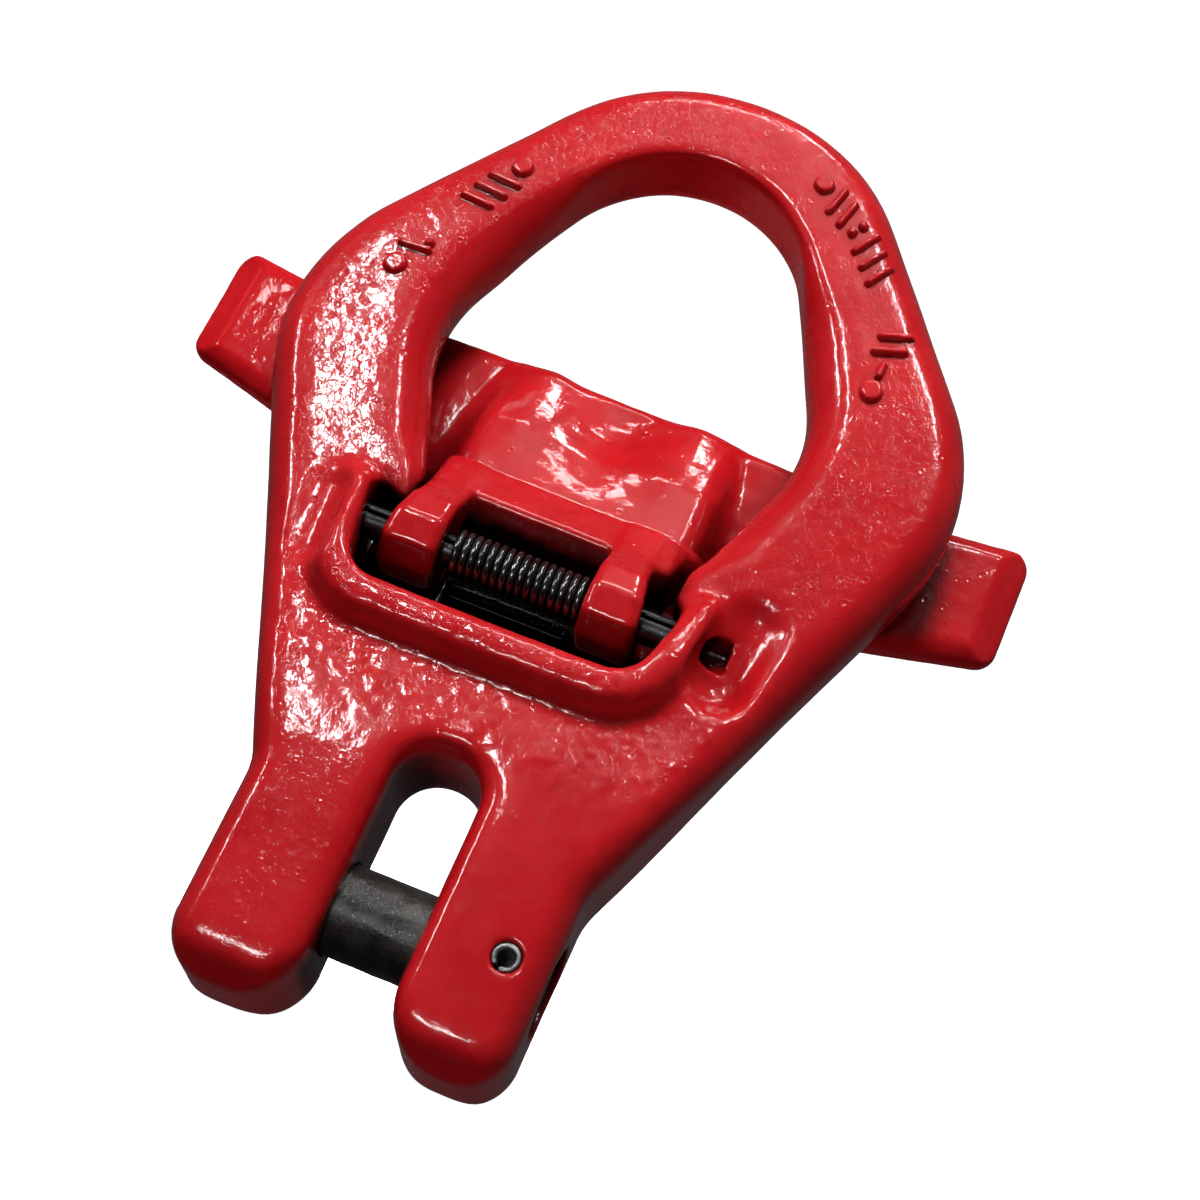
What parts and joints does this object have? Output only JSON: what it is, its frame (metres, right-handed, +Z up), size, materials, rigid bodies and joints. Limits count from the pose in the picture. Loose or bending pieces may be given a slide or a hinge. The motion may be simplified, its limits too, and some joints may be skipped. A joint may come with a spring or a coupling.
{
  "type": "clevis lifting ring",
  "caption": "Forged clevis lifting ring with a raised pocket holding a sprung latch flap with finger wings, and a load pin across the fork.",
  "frame": {"origin": "on the load pin's axis, midway between the two ears and in the body's middle plane", "axes": "+Z up along the load line (the ring hangs below), X along the load pin and the latch pivot pin, -Y out of the face with the raised pocket rim, +Y out of the back where the latch flap lies"},
  "size_m": [0.16, 0.0329, 0.1968],
  "materials": {
    "red_paint": "gloss",
    "latch_paint": "gloss",
    "black_oxide": "satin black oxide",
    "pivot_steel": "satin black oxide",
    "pin_steel": "satin",
    "spring_steel": "satin"
  },
  "bodies": {
    "frame": {"forged_body": "red_paint", "load_pin": "black_oxide", "retaining_pin": "pin_steel", "latch_pivot_pin": "pivot_steel", "torsion_spring": "spring_steel"},
    "latch": {"latch_flap": "latch_paint"}
  },
  "joints": [
    {"name": "latch_swing", "type": "hinge", "parent": "frame", "child": "latch", "pos_m": [0, -0.006, -0.0644], "axis": [1, 0, 0], "range_deg": [0, 62], "stiffness_Nm_per_rad": 0.12, "deforming": ["torsion_spring"]}
  ]
}
